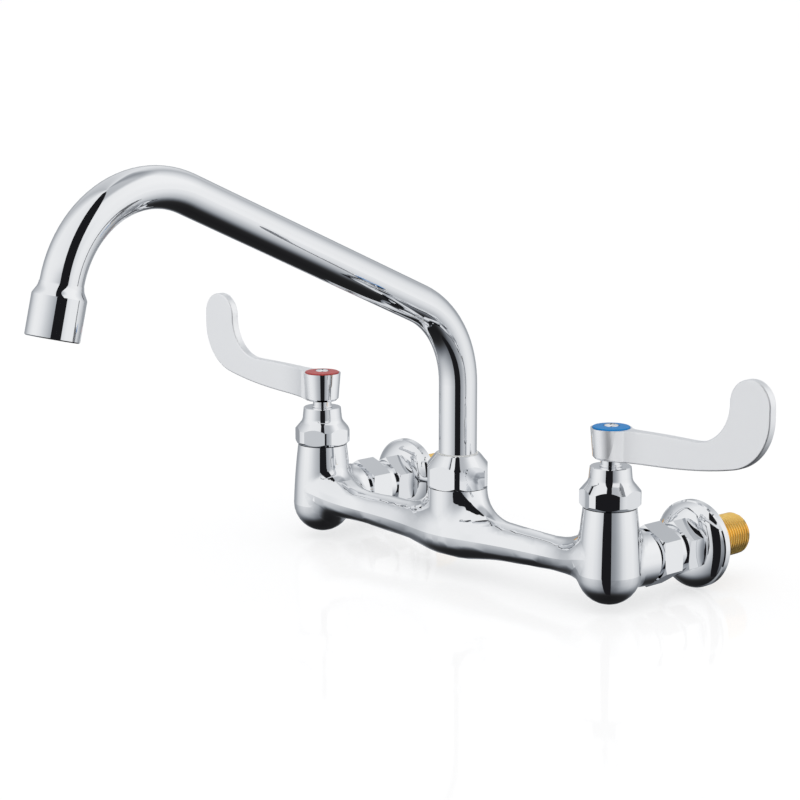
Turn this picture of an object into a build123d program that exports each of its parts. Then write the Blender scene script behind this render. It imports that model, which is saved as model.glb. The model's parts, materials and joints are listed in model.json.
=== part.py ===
"""Commercial wall faucet with two wrist-blade levers and a swivel spout.

Millimetres. The origin lies midway between the two inlet axes on the wall face. +X runs to the cold side,
+Y into the wall and +Z up. The spout points along -Y.
"""
from build123d import *
import math
import os

# Layout
INLET_CENTRES = 203.2          # between the two inlet axes, which are the valve axes too
WALL_TO_AXES = 64.0            # from the wall face to the valve and spout axes
SIDES = {"hot": -1, "cold": 1}

# Clearances
SEAT_GAP = 0.3                 # between faces that nearly seat
RUNNING_GAP = 0.06             # radial, round a turning shaft
THREAD_GAP = 0.1               # radial, between the plain cylinders that stand for a thread pair
RING_GAP = 0.02                # round an O-ring
OVERRUN = 1.0                  # how far a cutter or a joining piece runs past a surface

# Mixing body: valve barrels
BARREL_TOP_Z = 28.5
BARREL_TOP_RADIUS = 12.9
BARREL_WAIST_Z = 15.9
BARREL_WAIST_RADIUS = 14.25
BARREL_FOOT_RADIUS = 15.4
BARREL_FOOT_Z = -3.3           # centre of the round foot
BARREL_BORE_RADIUS = 10.25
SEAL_POCKET_RADIUS = 11.6
SEAL_POCKET_DEPTH = 1.4
VALVE_SEAT_Z = 3.0
SEAT_HOLE_RADIUS = 5.0
SEAT_HOLE_FLOOR_Z = -6.0

# Mixing body: cross bar and centre boss
BAR_Z = -0.7                   # bar axis below the inlet axes
# Oval sections of the bar as (distance, half height, half depth, rise)
# BAR_BELLY is measured from the boss axis
BAR_BELLY = ((0.0, 13.4, 16.0, 0.0), (20.0, 11.4, 13.2, 0.0), (40.0, 9.35, 9.8, 0.0))
# BAR_FLARE is measured from the valve axis
BAR_FLARE = (
    (41.6, 8.5, 8.8, 0.2),
    (27.6, 8.7, 9.8, 0.8),
    (17.6, 10.7, 12.4, 2.4),
    (9.6, 12.8, 14.4, 4.3),
    (0.0, 14.0, 15.0, 5.4),
)
BOSS_RADIUS = 15.0
BOSS_TOP_Z = 22.0
BOSS_CHEEK_RADIUS = 12.0
BOSS_CHEEK_Z = -5.0
BOSS_FOOT_Z = -12.0            # inside the belly of the bar
BOSS_STUB_RADIUS = 12.4
BOSS_STUB_TOP_Z = 33.2
BOSS_CHAMBER_RADIUS = 7.5
BOSS_CHAMBER_FLOOR_Z = -6.0
BOSS_FILLET = 22.0
BAR_FILLET = 10.0
WATERWAY_RADIUS = 4.0
WATERWAY_TURN = 26.0           # from the valve axis to where the waterway starts to rise
WATERWAY_EXIT_Z = 8.5

# Mixing body: inlet arms
ARM_ROOT_RADIUS = 12.5
ARM_END_RADIUS = 14.0
ARM_END_Y = -41.0
ARM_EDGE = 1.0
ARM_FILLET = 8.0
ARM_STUB_RADIUS = 11.4
ARM_STUB_END_Y = -33.2
INLET_BORE_RADIUS = 6.0

# Inlet union: washer, coupling nut and tail
WASHER_THICKNESS = 1.8
WASHER_RADIUS = 10.8
WASHER_HOLE_RADIUS = 6.5
NUT_FLATS = 26.6
NUT_FRONT_Y = -38.5
NUT_REAR_Y = -25.5
NUT_LIP = 3.5
NUT_TURN = 26.0                # where its first corner points, in degrees
TAIL_COLLAR_RADIUS = 10.8
TAIL_COLLAR_WIDTH = 2.4
TAIL_NECK_RADIUS = 9.0
TAIL_SHOULDER_RADIUS = 11.6
TAIL_SHOULDER_Y = -24.6
TAIL_FLATS = 24.8
TAIL_HEX_Y = -19.5
TAIL_HEX_END_Y = -9.4
TAIL_END_RADIUS = 12.4
TAIL_TURN = 34.0
HEX_CHAMFER = 1.6              # across the corners
HEX_CHAMFER_DEPTH = 0.8        # along the axis

# Wall flange and inlet nipple
FLANGE_HEIGHT = 8.2
FLANGE_RADIUS = 21.8
FLANGE_RIM = 3.6
FLANGE_HUB_RADIUS = 12.6
FLANGE_CROWN = 6.7             # height of the dome halfway out
FLANGE_EDGE = 0.4
FLANGE_WALL = 1.5
NIPPLE_RADIUS = 10.478         # half-inch parallel pipe thread, 20.955 across
NIPPLE_SHANK_RADIUS = 10.2
NIPPLE_SHANK_END_Y = -1.5
NIPPLE_START_Y = -18.0
NIPPLE_END_Y = 30.4
NIPPLE_BORE_RADIUS = 7.0
NIPPLE_CHAMFER = 1.0

# Spout nut and the ring in its mouth
SPOUT_NUT_FLATS = 30.0
SPOUT_NUT_CORNER_RADIUS = 16.6  # its corners are turned down to this
SPOUT_NUT_TURN = 14.0
SPOUT_NUT_TOP_Z = 39.1
SPOUT_NUT_TOP_RADIUS = 11.4
SPOUT_NUT_FOOT_RADIUS = 15.1
SPOUT_NUT_CONE_Z = 32.3        # where the corners end and the cone starts
SPOUT_NUT_EDGE = 0.35
SPOUT_NUT_MOUTH_RADIUS = 10.2
GUIDE_RING_HEIGHT = 2.4

# Spout base, its rings and the tube
BASE_RADIUS = 9.8
BASE_FOOT_Z = 14.0
BASE_TOP_Z = 36.3
BASE_BORE_RADIUS = 6.5
SPIGOT_HEIGHT = 7.7
BASE_RING_HEIGHTS = (18.5, 25.0)
RING_THICKNESS = 1.24
GROOVE_HEIGHT = 1.6
SNAP_RING_THICKNESS = 1.5
SNAP_RING_RADIUS = 11.4
SNAP_GROOVE_DEPTH = 0.8
SNAP_RING_OPENING = 50.0       # degrees
TUBE_RADIUS = 9.525            # three-quarter-inch tube
TUBE_WALL = 1.0
RISER_TOP_Z = 74.6
LOWER_BEND_RADIUS = 47.0
SPOUT_SLOPE = 24.0             # degrees above level
SLOPE_LENGTH = 155.8
UPPER_BEND_RADIUS = 49.7
OUTLET_LEAN = 14.0             # degrees outward from straight down
TUBE_IN_NOZZLE = 6.0

# Nozzle and aerator, measured down the outlet axis from the end of the bend
NOZZLE_RADIUS = 11.95
NOZZLE_LIP = 0.2
NOZZLE_SWELL = 0.35            # outward slope where the flare meets the housing
NOZZLE_SHOULDER = 5.8
NOZZLE_LENGTH = 24.0
NOZZLE_LEDGE = 1.0
NOZZLE_BORE_RADIUS = 10.4
NOZZLE_EDGE = 0.5
AERATOR_LENGTH = 12.0
AERATOR_WALL = 1.6
AERATOR_PLATE = 2.0
AERATOR_HOLE_RADIUS = 0.8
AERATOR_RING_PITCH = 2.6
AERATOR_RINGS = 2
AERATOR_RECESS = 2.0           # from the plate to the open end
AERATOR_WASHER = 1.6
AERATOR_WASHER_WIDTH = 2.2

# Bonnet
BONNET_FLATS = 27.0
BONNET_CORNER_RADIUS = 14.65   # its corners are turned down to this
BONNET_SKIRT_RADIUS = 10.15
BONNET_SKIRT_Z = 16.0
BONNET_BELL_RADIUS = 5.2
BONNET_BELL_SLOPE = 40.0       # of the cone under the bell curve, in degrees from upright
BONNET_NECK_RADIUS = 10.3
BONNET_NECK_Z = 43.6
BONNET_TOP_RADIUS = 9.85
BONNET_TOP_Z = 48.4
BONNET_EDGE = 0.3
BONNET_TURNS = {SIDES["hot"]: 30.0, SIDES["cold"]: 36.5}   # where each thread came tight, in degrees
BONNET_CAVITY_RADIUS = 8.0
BONNET_RELIEF_RADIUS = 5.6
BONNET_RELIEF_TOP_Z = 42.0
BONNET_SEAL_THICKNESS = 1.2

# Cartridge
CAGE_RADIUS = 9.2
CAGE_WALL = 1.6
CAGE_WINDOW_WIDTH = 9.0
CAGE_WINDOW_SILL_Z = 9.2
CAGE_WINDOW_HEAD_Z = 14.0
DISC_RADIUS = 7.4
DISC_THICKNESS = 2.0
SEAT_SEAL_THICKNESS = 1.2
SEAT_SEAL_WALL = 2.0
PORT_INNER_RADIUS = 2.6
PORT_OUTER_RADIUS = 6.0
PORT_ANGLE = 76.0              # degrees
DRIVE_BAR_LENGTH = 10.0
DRIVE_BAR_WIDTH = 3.0
DRIVE_BAR_DEPTH = 0.8

# Stem, its clip and its O-ring
STEM_RADIUS = 4.85
STEM_LOWER_RADIUS = 3.5
STEM_FLANGE_RADIUS = 7.4
STEM_FLANGE_HEIGHT = 4.0
STEM_TIP_RADIUS = 3.9
STEM_TIP_TOP_Z = 61.7
STEM_TAPPED_RADIUS = 2.1
STEM_TAPPED_DEPTH = 7.0
STEM_RING_Z = 45.2
STEM_RING_THICKNESS = 0.86
CLIP_RADIUS = 5.5
CLIP_THICKNESS = 0.7
CLIP_GROOVE_DEPTH = 0.45
CLIP_OPENING = 60.0            # degrees

# Lever
HUB_FOOT_Z = 52.0
HUB_TOP_Z = 66.8
HUB_FOOT_RADIUS = 8.7
HUB_RIM_RADIUS = 9.85
HUB_EDGE = 1.2
HUB_SOCKET_TOP_Z = 62.0
DISC_SEAT_Z = 65.3
DISC_SEAT_RADIUS = 9.1
BLADE_THICKNESS = 4.5
BLADE_REACH = 94.1             # from the valve axis to the outer side of the blade
BLADE_TIP_Z = 100.5
BLADE_TIP_RADIUS = 11.45
BLADE_HEEL_RADIUS = 25.8
BLADE_HEEL_Z = 57.5            # lowest point of the heel arc
BLADE_HEEL_START = 13.0        # slope where the bottom edge meets the heel arc, in degrees
BLADE_CROOK_RADIUS = 20.0
BLADE_CROOK_Z = 68.0           # top edge where the crook starts
BLADE_TOP_DIP = 0.12           # downward slope of the top edge where it reaches the hub
BLADE_FLARE_LENGTH = 30.0      # from the valve axis to where the flare has run out
BLADE_FLARE_START = 62.0       # degrees round the hub from the blade
BLADE_EDGE = 0.8

# Index disc and handle screw
INDEX_RADIUS = 9.0
INDEX_EDGE_Z = 67.4
INDEX_CROWN_Z = 67.8
INDEX_EDGE = 0.35
INDEX_POCKET_RADIUS = 3.8
INDEX_POCKET_Z = 67.2
SCREW_HEAD_RADIUS = 3.5
SCREW_HEAD_HEIGHT = 1.3
SCREW_HEAD_EDGE = 0.45
SCREW_SHANK_RADIUS = 2.0
SCREW_HOLE_RADIUS = 2.2
SCREW_LENGTH = 11.0

VALVE_X = INLET_CENTRES / 2
TAIL_FRONT_Y = ARM_STUB_END_Y + WASHER_THICKNESS
NUT_SEAT_Y = TAIL_FRONT_Y + TAIL_COLLAR_WIDTH
BONNET_FOOT_Z = BARREL_TOP_Z + SEAT_GAP
FIXED_DISC_Z = VALVE_SEAT_Z + SEAT_SEAL_THICKNESS
MOVING_DISC_Z = FIXED_DISC_Z + DISC_THICKNESS
STEM_FOOT_Z = MOVING_DISC_Z + DISC_THICKNESS
SNAP_GROOVE_Z = BOSS_STUB_TOP_Z + SEAT_GAP
SNAP_SHELF_Z = SNAP_GROOVE_Z + SNAP_RING_THICKNESS + SEAT_GAP


def turned(*points):
    """A solid of revolution about Z from (radius, z) corners."""
    with BuildPart() as part:
        with BuildSketch(Plane.XZ):
            with BuildLine():
                Polyline(*points, close=True)
            make_face()
        revolve(axis=Axis.Z)
    return part.part


def ring(outer, inner, low, high):
    """A plain ring about Z."""
    return turned((inner, low), (outer, low), (outer, high), (inner, high))


def rod(radius, low, high):
    """A plain cylinder about Z."""
    return Pos(0, 0, low) * Cylinder(radius, high - low, align=(Align.CENTER, Align.CENTER, Align.MIN))


def hexagon(flats, low, high, turn):
    """A hexagon prism about Z whose first corner points turn degrees round from +X."""
    outline = RegularPolygon(flats / math.sqrt(3), 6, rotation=turn)
    return Pos(0, 0, low) * extrude(outline, high - low)


def o_ring(outer, thickness, height):
    """An O-ring about Z."""
    return Pos(0, 0, height) * Torus(outer - thickness / 2, thickness / 2)


def split_ring(outer, inner, low, high, opening, towards):
    """A ring about Z with a gap of opening degrees centred on the direction towards."""
    half = math.radians(opening / 2)
    reach = 2 * outer
    with BuildPart() as gap:
        with BuildSketch(Plane.XY.offset(low)):
            Polygon((0, 0), (reach, -reach * math.tan(half)), (reach, reach * math.tan(half)), align=None)
        extrude(amount=high - low)
    return ring(outer, inner, low, high) - Rot(0, 0, towards) * gap.part


def on_valve(shape, side):
    """Move a shape made about the origin onto the valve axis of one side."""
    return Pos(side * VALVE_X, -WALL_TO_AXES, 0) * shape


def on_boss(shape):
    """Move a shape made about the origin onto the spout axis."""
    return Pos(0, -WALL_TO_AXES, 0) * shape


def on_inlet(shape, side):
    """Turn a shape made about Z onto the inlet axis of one side, with its z read as y."""
    return Pos(side * VALVE_X, 0, 0) * Rot(-90, 0, 0) * shape


def barrel_blank(side):
    """Outside of one valve barrel, with its seam away from the bar and the arm."""
    diagonal = BARREL_FOOT_RADIUS * math.sqrt(0.5)
    with BuildPart() as part:
        with BuildSketch(Plane.XZ):
            with BuildLine():
                Line((0, BARREL_TOP_Z), (BARREL_TOP_RADIUS, BARREL_TOP_Z))
                ThreePointArc(
                    (BARREL_TOP_RADIUS, BARREL_TOP_Z),
                    (BARREL_WAIST_RADIUS, BARREL_WAIST_Z),
                    (BARREL_FOOT_RADIUS, BARREL_FOOT_Z),
                )
                ThreePointArc(
                    (BARREL_FOOT_RADIUS, BARREL_FOOT_Z),
                    (diagonal, BARREL_FOOT_Z - diagonal),
                    (0, BARREL_FOOT_Z - BARREL_FOOT_RADIUS),
                )
                Line((0, BARREL_FOOT_Z - BARREL_FOOT_RADIUS), (0, BARREL_TOP_Z))
            make_face()
        revolve(axis=Axis.Z)
    seam = -90 + 45 * side
    return on_valve(Rot(0, 0, seam) * part.part, side)


def arm_blank(side):
    """Outside of one inlet arm, which widens towards its union."""
    length = WALL_TO_AXES + ARM_END_Y
    arm = turned(
        (0, 0),
        (ARM_ROOT_RADIUS, 0),
        (ARM_END_RADIUS, length - ARM_EDGE),
        (ARM_END_RADIUS - ARM_EDGE, length),
        (0, length),
    )
    return on_inlet(Pos(0, 0, -WALL_TO_AXES) * arm, side)


def bar_blank():
    """Outside of the cross bar, thickest at the boss and rising as it flares into the barrels."""
    half = list(BAR_BELLY) + [(VALVE_X - row[0], *row[1:]) for row in BAR_FLARE]
    mirrored = [(-x, height, depth, rise) for x, height, depth, rise in reversed(half[1:])]
    sections = []
    for x, height, depth, rise in mirrored + half:
        place = Plane((x, 0, BAR_Z + rise), x_dir=(0, 0, 1), z_dir=(1, 0, 0))
        sections.append(place * Ellipse(height, depth))
    return on_boss(loft(sections))


def boss_blank():
    """Outside of the centre boss, which runs down into the belly of the bar."""
    with BuildPart() as part:
        with BuildSketch(Plane.XZ):
            with BuildLine():
                Line((0, BOSS_TOP_Z), (BOSS_RADIUS, BOSS_TOP_Z))
                Spline(
                    (BOSS_RADIUS, BOSS_TOP_Z),
                    (BOSS_CHEEK_RADIUS, BOSS_CHEEK_Z),
                    (0, BOSS_FOOT_Z),
                    tangents=((0, -1), (-1, 0)),
                )
                Line((0, BOSS_FOOT_Z), (0, BOSS_TOP_Z))
            make_face()
        revolve(axis=Axis.Z)
    return on_boss(Rot(0, 0, 90) * part.part)


def joined(first, second, radius):
    """Two blanks as one casting, with a fillet where they meet."""
    both = first + second
    return fillet(new_edges(first, second, combined=both), radius)


def body_bores(side):
    """Everything bored out of one valve barrel and its arm, and its waterway to the boss."""
    bore = rod(BARREL_BORE_RADIUS, VALVE_SEAT_Z, BARREL_TOP_Z)
    pocket = rod(SEAL_POCKET_RADIUS, BARREL_TOP_Z - SEAL_POCKET_DEPTH, BARREL_TOP_Z)
    seat_hole = rod(SEAT_HOLE_RADIUS, SEAT_HOLE_FLOOR_Z, VALVE_SEAT_Z)
    inlet = on_inlet(rod(INLET_BORE_RADIUS, -WALL_TO_AXES, ARM_STUB_END_Y), side)
    turn_x = VALVE_X - WATERWAY_TURN
    level = Plane((0, -WALL_TO_AXES, BAR_Z), z_dir=(side, 0, 0)) * rod(WATERWAY_RADIUS, 0, turn_x)
    exit_x = VALVE_X - BARREL_BORE_RADIUS
    rise = Vector(side * (exit_x - turn_x), 0, WATERWAY_EXIT_Z - BAR_Z)
    start = Plane((side * turn_x, -WALL_TO_AXES, BAR_Z), z_dir=rise)
    rising = start * rod(WATERWAY_RADIUS, 0, rise.length)
    elbow = Pos(side * turn_x, -WALL_TO_AXES, BAR_Z) * Sphere(WATERWAY_RADIUS)
    return [on_valve(bore + pocket + seat_hole, side), inlet, level, elbow, rising]


def mixing_body():
    """The casting that joins both valves, the spout boss and the inlet arms."""
    body = joined(boss_blank(), bar_blank(), BOSS_FILLET)
    for side in SIDES.values():
        valve = joined(barrel_blank(side), arm_blank(side), ARM_FILLET)
        body = joined(valve, body, BAR_FILLET)
    body += on_boss(rod(BOSS_STUB_RADIUS, BOSS_TOP_Z, BOSS_STUB_TOP_Z))
    for side in SIDES.values():
        body += on_inlet(rod(ARM_STUB_RADIUS, ARM_END_Y, ARM_STUB_END_Y), side)
    body -= on_boss(rod(BASE_RADIUS + RUNNING_GAP, BASE_FOOT_Z - SEAT_GAP, BOSS_STUB_TOP_Z))
    body -= on_boss(rod(BOSS_CHAMBER_RADIUS, BOSS_CHAMBER_FLOOR_Z, BASE_FOOT_Z - SEAT_GAP))
    for side in SIDES.values():
        for cut in body_bores(side):
            body -= cut
    return body


def union_washer(side):
    """Fibre washer between the arm and the tail."""
    return on_inlet(ring(WASHER_RADIUS, WASHER_HOLE_RADIUS, ARM_STUB_END_Y, TAIL_FRONT_Y), side)


def coupling_nut(side):
    """Hexagon union nut that draws the tail against the arm."""
    corner = NUT_FLATS / math.sqrt(3)
    bore = ARM_STUB_RADIUS + THREAD_GAP
    blank = turned(
        (0, NUT_FRONT_Y),
        (corner - HEX_CHAMFER, NUT_FRONT_Y),
        (corner, NUT_FRONT_Y + HEX_CHAMFER_DEPTH),
        (corner, NUT_REAR_Y - HEX_CHAMFER_DEPTH),
        (corner - HEX_CHAMFER, NUT_REAR_Y),
        (0, NUT_REAR_Y),
    )
    nut = blank & hexagon(NUT_FLATS, NUT_FRONT_Y, NUT_REAR_Y, NUT_TURN)
    nut -= rod(bore, NUT_FRONT_Y, NUT_SEAT_Y)
    nut -= rod(TAIL_NECK_RADIUS + THREAD_GAP, NUT_SEAT_Y, NUT_REAR_Y)
    return on_inlet(nut, side)


def inlet_tail(side):
    """Union tail: collar, neck, round shoulder and the hexagon screwed on the nipple."""
    corner = TAIL_FLATS / math.sqrt(3)
    front = turned(
        (0, TAIL_FRONT_Y),
        (TAIL_COLLAR_RADIUS, TAIL_FRONT_Y),
        (TAIL_COLLAR_RADIUS, NUT_SEAT_Y),
        (TAIL_NECK_RADIUS, NUT_SEAT_Y),
        (TAIL_NECK_RADIUS, TAIL_SHOULDER_Y),
        (TAIL_SHOULDER_RADIUS, TAIL_SHOULDER_Y),
        (TAIL_SHOULDER_RADIUS, TAIL_HEX_Y),
        (0, TAIL_HEX_Y),
    )
    rear = turned(
        (0, TAIL_HEX_Y),
        (corner - HEX_CHAMFER, TAIL_HEX_Y),
        (corner, TAIL_HEX_Y + HEX_CHAMFER_DEPTH),
        (corner, TAIL_HEX_END_Y),
        (TAIL_END_RADIUS, -FLANGE_HEIGHT),
        (0, -FLANGE_HEIGHT),
    )
    tail = front + (rear & hexagon(TAIL_FLATS, TAIL_HEX_Y, -FLANGE_HEIGHT, TAIL_TURN))
    tail -= rod(WASHER_HOLE_RADIUS, TAIL_FRONT_Y, -FLANGE_HEIGHT)
    tail -= rod(NIPPLE_SHANK_RADIUS + THREAD_GAP, NIPPLE_START_Y - SEAT_GAP, -FLANGE_HEIGHT)
    return on_inlet(tail, side)


def wall_flange(side):
    """Domed escutcheon, open at the back, whose hub slides on the nipple."""
    dome_end = FLANGE_RADIUS - FLANGE_WALL / 2
    crown = ((FLANGE_HUB_RADIUS + FLANGE_RADIUS) / 2, -FLANGE_CROWN)
    rim_start = (FLANGE_RADIUS, FLANGE_EDGE - FLANGE_RIM)
    hole = NIPPLE_SHANK_RADIUS + SEAT_GAP
    with BuildPart() as part:
        with BuildSketch(Plane.XZ):
            with BuildLine():
                Line((hole, -FLANGE_HEIGHT), (FLANGE_HUB_RADIUS, -FLANGE_HEIGHT))
                ThreePointArc((FLANGE_HUB_RADIUS, -FLANGE_HEIGHT), crown, (dome_end, -FLANGE_RIM))
                Polyline((dome_end, -FLANGE_RIM), rim_start, (FLANGE_RADIUS, 0))
                Polyline((FLANGE_RADIUS, 0), (FLANGE_RADIUS - FLANGE_WALL, 0))
                inner_end = (FLANGE_RADIUS - FLANGE_WALL, -FLANGE_RIM + FLANGE_WALL)
                inner_crown = (crown[0], FLANGE_WALL - FLANGE_CROWN)
                inner_hub = (FLANGE_HUB_RADIUS, FLANGE_WALL - FLANGE_HEIGHT)
                Line((FLANGE_RADIUS - FLANGE_WALL, 0), inner_end)
                ThreePointArc(inner_end, inner_crown, inner_hub)
                Polyline(inner_hub, (hole, FLANGE_WALL - FLANGE_HEIGHT), (hole, -FLANGE_HEIGHT))
            make_face()
        revolve(axis=Axis.Z)
    return on_inlet(part.part, side)


def inlet_nipple(side):
    """Brass nipple: a plain shank in the tail and the male thread that goes into the wall."""
    nipple = turned(
        (NIPPLE_BORE_RADIUS, NIPPLE_START_Y),
        (NIPPLE_SHANK_RADIUS, NIPPLE_START_Y),
        (NIPPLE_SHANK_RADIUS, NIPPLE_SHANK_END_Y),
        (NIPPLE_RADIUS, NIPPLE_SHANK_END_Y),
        (NIPPLE_RADIUS, NIPPLE_END_Y - NIPPLE_CHAMFER),
        (NIPPLE_RADIUS - NIPPLE_CHAMFER, NIPPLE_END_Y),
        (NIPPLE_BORE_RADIUS, NIPPLE_END_Y),
    )
    return on_inlet(nipple, side)


def spout_nut():
    """Hexagon nut with a coned top that traps the spout's snap ring."""
    foot = BOSS_TOP_Z + SEAT_GAP
    corner = SPOUT_NUT_CORNER_RADIUS
    blank = turned(
        (0, foot),
        (SPOUT_NUT_FOOT_RADIUS, foot),
        (corner, foot + (corner - SPOUT_NUT_FOOT_RADIUS)),
        (corner, SPOUT_NUT_CONE_Z),
        (SPOUT_NUT_TOP_RADIUS, SPOUT_NUT_TOP_Z - SPOUT_NUT_EDGE),
        (SPOUT_NUT_TOP_RADIUS - SPOUT_NUT_EDGE, SPOUT_NUT_TOP_Z),
        (0, SPOUT_NUT_TOP_Z),
    )
    nut = blank & hexagon(SPOUT_NUT_FLATS, foot, SPOUT_NUT_TOP_Z, SPOUT_NUT_TURN)
    nut -= rod(BOSS_STUB_RADIUS + THREAD_GAP, foot, SNAP_GROOVE_Z)
    nut -= rod(SNAP_RING_RADIUS + SEAT_GAP, SNAP_GROOVE_Z, SNAP_SHELF_Z)
    nut -= rod(SPOUT_NUT_MOUTH_RADIUS, SNAP_SHELF_Z, SPOUT_NUT_TOP_Z)
    return on_boss(nut)


def spout_guide_ring():
    """Plastic ring that centres the tube in the mouth of the nut."""
    top = SPOUT_NUT_TOP_Z + SEAT_GAP
    inner = TUBE_RADIUS + RUNNING_GAP
    return on_boss(ring(SPOUT_NUT_MOUTH_RADIUS - RING_GAP, inner, top - GUIDE_RING_HEIGHT, top))


def spout_base():
    """Brass sleeve that turns in the boss and carries the tube on its spigot."""
    base = rod(BASE_RADIUS, BASE_FOOT_Z, BASE_TOP_Z)
    base += rod(TUBE_RADIUS - TUBE_WALL - RUNNING_GAP, BASE_TOP_Z, BASE_TOP_Z + SPIGOT_HEIGHT)
    bottom = BASE_RADIUS + RUNNING_GAP - RING_THICKNESS - 2 * RING_GAP
    for height in BASE_RING_HEIGHTS:
        base -= ring(BASE_RADIUS + OVERRUN, bottom, height - GROOVE_HEIGHT / 2, height + GROOVE_HEIGHT / 2)
    groove_top = SNAP_GROOVE_Z + SNAP_RING_THICKNESS
    base -= ring(BASE_RADIUS + OVERRUN, BASE_RADIUS - SNAP_GROOVE_DEPTH, SNAP_GROOVE_Z, groove_top)
    base -= rod(BASE_BORE_RADIUS, BASE_FOOT_Z, BASE_TOP_Z + SPIGOT_HEIGHT)
    return on_boss(base)


def spout_o_rings():
    """Two O-rings in the grooves of the base."""
    outer = BASE_RADIUS + RUNNING_GAP - RING_GAP
    return on_boss(Compound([o_ring(outer, RING_THICKNESS, height) for height in BASE_RING_HEIGHTS]))


def spout_snap_ring():
    """Split ring that holds the base down under the nut."""
    inner = BASE_RADIUS - SNAP_GROOVE_DEPTH + RING_GAP
    top = SNAP_GROOVE_Z + SNAP_RING_THICKNESS
    return on_boss(split_ring(SNAP_RING_RADIUS, inner, SNAP_GROOVE_Z, top, SNAP_RING_OPENING, 90))


def spout_point(centre, radius, heading):
    """Point on a bend that curves to the right, where the route points heading degrees above level."""
    angle = math.radians(heading)
    return (centre[0] - radius * math.sin(angle), centre[1] + radius * math.cos(angle))


def outlet_heading():
    """Direction of the outlet in degrees above level."""
    return OUTLET_LEAN - 90


def lower_bend_centre():
    return (LOWER_BEND_RADIUS, RISER_TOP_Z)


def upper_bend_centre():
    """Centre of the upper bend, one straight slope on from the lower bend."""
    slope = math.radians(SPOUT_SLOPE)
    start = spout_point(lower_bend_centre(), LOWER_BEND_RADIUS, SPOUT_SLOPE)
    end = (start[0] + SLOPE_LENGTH * math.cos(slope), start[1] + SLOPE_LENGTH * math.sin(slope))
    return (end[0] + UPPER_BEND_RADIUS * math.sin(slope), end[1] - UPPER_BEND_RADIUS * math.cos(slope))


def bend_end():
    """Where the upper bend ends, as (distance out from the spout axis, height)."""
    return spout_point(upper_bend_centre(), UPPER_BEND_RADIUS, outlet_heading())


def spout_plane():
    """Plane of the spout: its x runs out from the wall and its y up."""
    return Plane((0, -WALL_TO_AXES, 0), x_dir=(0, -1, 0), z_dir=(-1, 0, 0))


def spout_route(start_z):
    """Centre line of the tube."""
    low = lower_bend_centre()
    high = upper_bend_centre()
    half_turn = (90 + SPOUT_SLOPE) / 2
    crest = (SPOUT_SLOPE + outlet_heading()) / 2
    foot = spout_point(low, LOWER_BEND_RADIUS, 90)
    low_end = spout_point(low, LOWER_BEND_RADIUS, SPOUT_SLOPE)
    high_start = spout_point(high, UPPER_BEND_RADIUS, SPOUT_SLOPE)
    end = bend_end()
    heading = math.radians(outlet_heading())
    tip = (end[0] + TUBE_IN_NOZZLE * math.cos(heading), end[1] + TUBE_IN_NOZZLE * math.sin(heading))
    with BuildLine(spout_plane()) as route:
        Line((0, start_z), foot)
        ThreePointArc(foot, spout_point(low, LOWER_BEND_RADIUS, half_turn), low_end)
        Line(low_end, high_start)
        ThreePointArc(high_start, spout_point(high, UPPER_BEND_RADIUS, crest), end)
        Line(end, tip)
    return route.line


def spout_tube():
    """Bent tube from the base to the nozzle."""
    route = spout_route(BASE_TOP_Z)
    section = Plane((0, -WALL_TO_AXES, BASE_TOP_Z)) * (Circle(TUBE_RADIUS) - Circle(TUBE_RADIUS - TUBE_WALL))
    return sweep(section, path=route)


def on_outlet(shape):
    """Move a shape made about Z onto the outlet axis, with its z read as distance from the bend."""
    end = bend_end()
    return Pos(0, -WALL_TO_AXES - end[0], end[1]) * Rot(180 - OUTLET_LEAN, 0, 0) * shape


def spout_nozzle():
    """Nozzle that flares from the tube to the aerator housing."""
    lip = TUBE_RADIUS + NOZZLE_LIP
    mouth = NOZZLE_LENGTH - NOZZLE_EDGE
    with BuildPart() as part:
        with BuildSketch(Plane.XZ):
            with BuildLine():
                Line((0, 0), (lip, 0))
                Spline((lip, 0), (NOZZLE_RADIUS, NOZZLE_SHOULDER), tangents=((0, 1), (NOZZLE_SWELL, 1)))
                Polyline(
                    (NOZZLE_RADIUS, NOZZLE_SHOULDER),
                    (NOZZLE_RADIUS, mouth),
                    (NOZZLE_RADIUS - NOZZLE_EDGE, NOZZLE_LENGTH),
                    (0, NOZZLE_LENGTH),
                    (0, 0),
                )
            make_face()
        revolve(axis=Axis.Z)
    ledge_end = TUBE_IN_NOZZLE + NOZZLE_LEDGE
    nozzle = part.part - rod(TUBE_RADIUS + RUNNING_GAP / 2, 0, TUBE_IN_NOZZLE)
    nozzle -= rod(TUBE_RADIUS - TUBE_WALL, TUBE_IN_NOZZLE, ledge_end)
    nozzle -= rod(NOZZLE_BORE_RADIUS, ledge_end, NOZZLE_LENGTH)
    return on_outlet(nozzle)


def aerator_start():
    """Where the aerator insert starts, down the outlet axis."""
    return TUBE_IN_NOZZLE + NOZZLE_LEDGE + AERATOR_WASHER


def aerator_insert():
    """Screw-in aerator: a ring with a drilled plate across it."""
    start = aerator_start()
    radius = NOZZLE_BORE_RADIUS - THREAD_GAP
    plate_z = start + AERATOR_LENGTH - AERATOR_RECESS - AERATOR_PLATE
    insert = ring(radius, radius - AERATOR_WALL, start, start + AERATOR_LENGTH)
    insert += rod(radius - AERATOR_WALL, plate_z, plate_z + AERATOR_PLATE)
    hole = rod(AERATOR_HOLE_RADIUS, plate_z, plate_z + AERATOR_PLATE)
    insert -= hole
    for ring_index in range(1, AERATOR_RINGS + 1):
        holes = 6 * ring_index
        for index in range(holes):
            spot = Rot(0, 0, 360 * index / holes) * Pos(AERATOR_RING_PITCH * ring_index, 0, 0)
            insert -= spot * hole
    return on_outlet(insert)


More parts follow.
